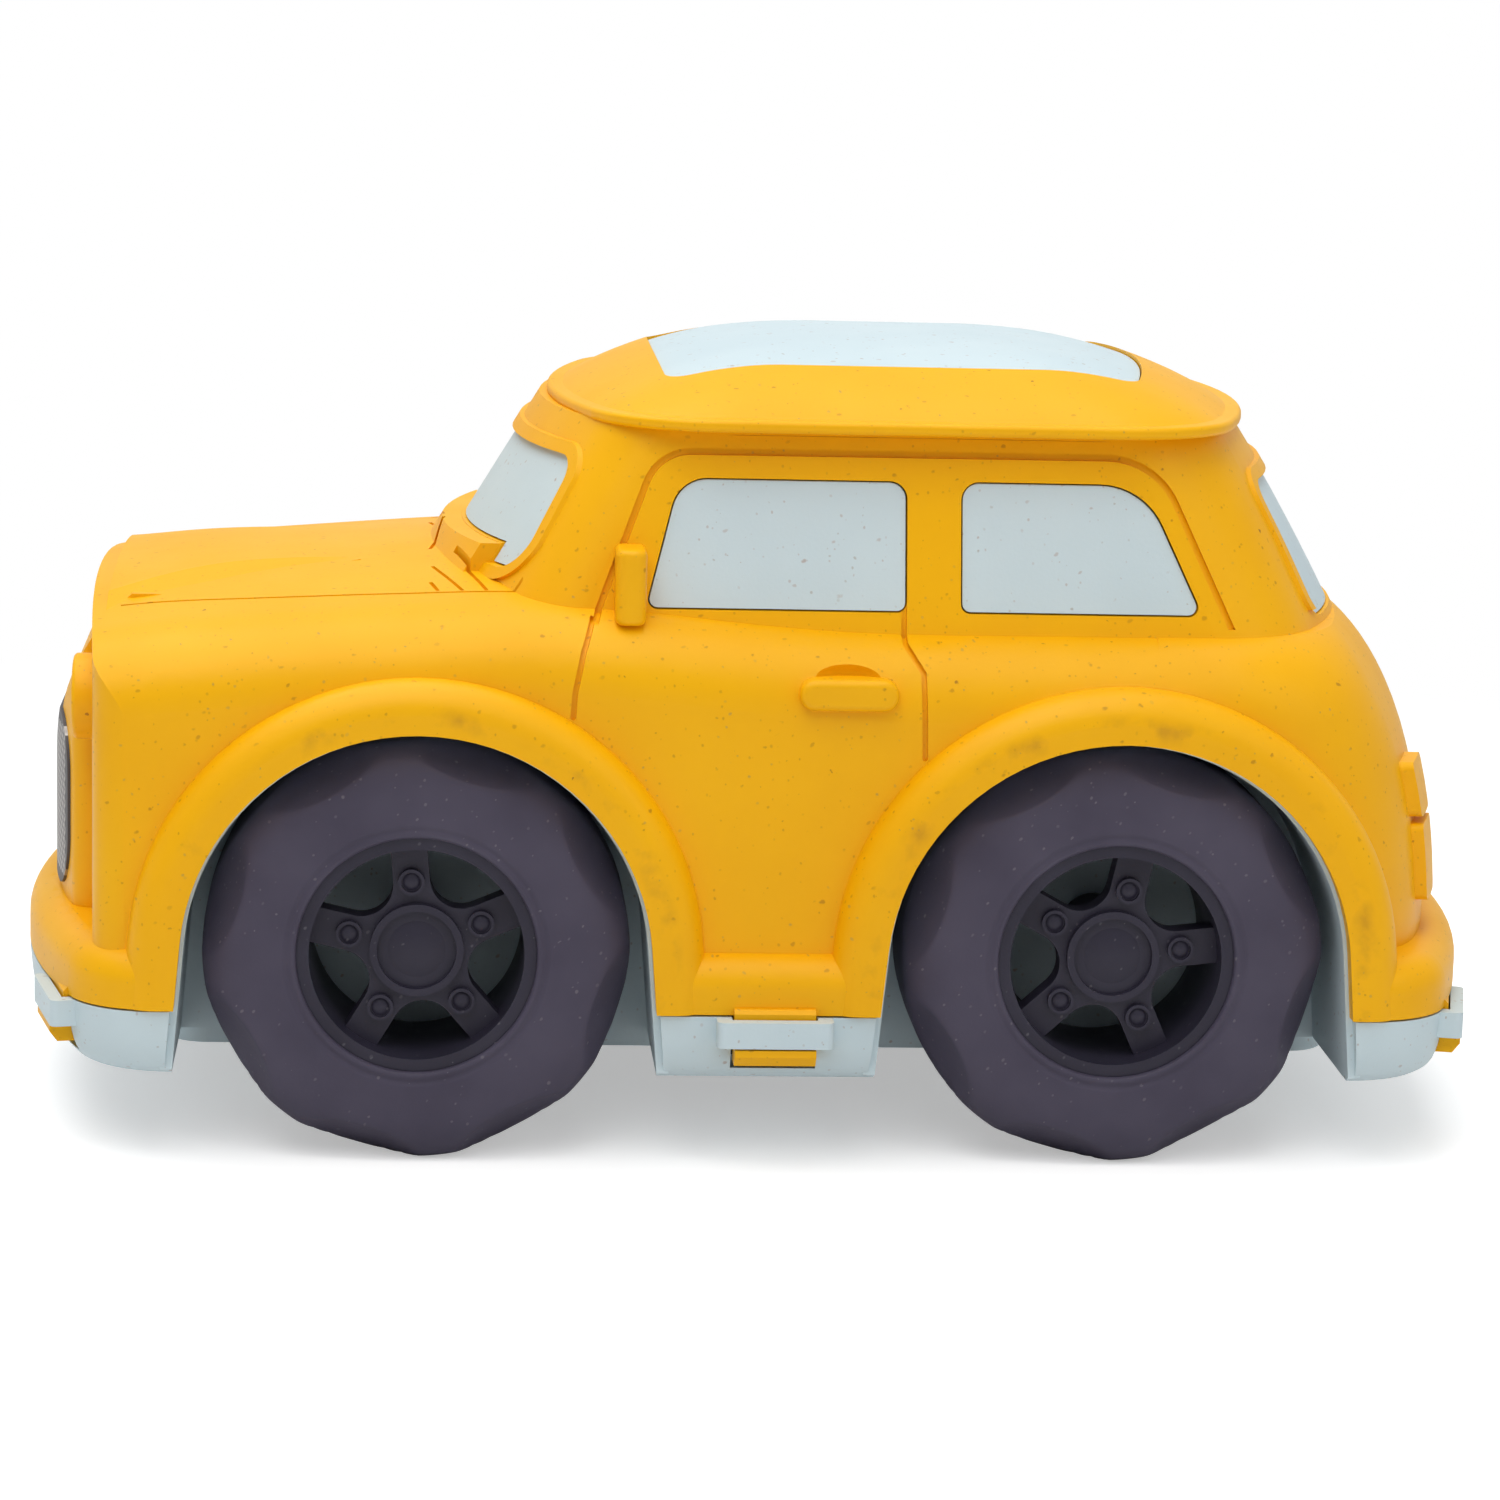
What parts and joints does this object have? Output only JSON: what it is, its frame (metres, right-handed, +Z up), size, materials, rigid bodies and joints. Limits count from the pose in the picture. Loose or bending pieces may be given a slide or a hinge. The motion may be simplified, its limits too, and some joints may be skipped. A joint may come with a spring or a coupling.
{
  "type": "pull back car",
  "caption": "Rounded toy car of moulded bioplastic with a clip-on body, pale window insert, free front wheels and a spring motor that winds when the car is drawn back.",
  "frame": {"origin": "on the floor, under the middle of the car", "axes": "+X from the nose to the tail, +Z up, the car's own left side faces -Y"},
  "size_m": [0.149, 0.0838, 0.0792],
  "materials": {
    "yellow_bioplastic": "satin, flecked with fine brown fibres",
    "pale_bioplastic": "satin, flecked with fine brown fibres",
    "wheel_plastic": "matte",
    "tyre_rubber": "matte",
    "mesh_sticker": "printed silver mesh with a dark edge",
    "steel_axle": "bright drawn wire",
    "gear_plastic": "plain moulded",
    "spring_steel": "blued strip",
    "motor_plastic": "plain moulded",
    "screw_steel": "zinc plated"
  },
  "bodies": {
    "car": {"body_shell": "yellow_bioplastic", "window_insert": "pale_bioplastic", "chassis": "pale_bioplastic", "grille_sticker": "mesh_sticker", "headlamp_sticker_left": "mesh_sticker", "headlamp_sticker_right": "mesh_sticker", "motor_case_left": "motor_plastic", "motor_case_right": "motor_plastic", "motor_screws": "screw_steel", "idler_pin": "steel_axle", "barrel_pin": "steel_axle"},
    "front_wheels": {"front_axle": "steel_axle", "front_rim_left": "wheel_plastic", "front_rim_right": "wheel_plastic", "front_tyre_left": "tyre_rubber", "front_tyre_right": "tyre_rubber"},
    "rear_wheels": {"rear_axle": "steel_axle", "axle_gear": "gear_plastic", "rear_rim_left": "wheel_plastic", "rear_rim_right": "wheel_plastic", "rear_tyre_left": "tyre_rubber", "rear_tyre_right": "tyre_rubber"},
    "idler": {"idler_gear": "gear_plastic"},
    "barrel": {"spring_barrel": "gear_plastic", "mainspring": "spring_steel"}
  },
  "joints": [
    {"name": "front_axle_spin", "type": "hinge", "parent": "car", "child": "front_wheels", "pos_m": [-0.0344, 0, 0.0209], "axis": [0, 1, 0], "continuous": true},
    {"name": "rear_axle_spin", "type": "hinge", "parent": "car", "child": "rear_wheels", "pos_m": [0.0344, 0, 0.0209], "axis": [0, 1, 0], "continuous": true},
    {"name": "idler_spin", "type": "hinge", "parent": "car", "child": "idler", "pos_m": [0.02621, 0, 0.02664], "axis": [0, 1, 0], "continuous": true},
    {"name": "barrel_spin", "type": "hinge", "parent": "car", "child": "barrel", "pos_m": [0.0166, 0, 0.02388], "axis": [0, 1, 0], "continuous": true}
  ],
  "couplings": [
    {"joint": "idler_spin", "follows": "rear_axle_spin", "ratio": -0.42857},
    {"joint": "barrel_spin", "follows": "rear_axle_spin", "ratio": 0.14286}
  ]
}
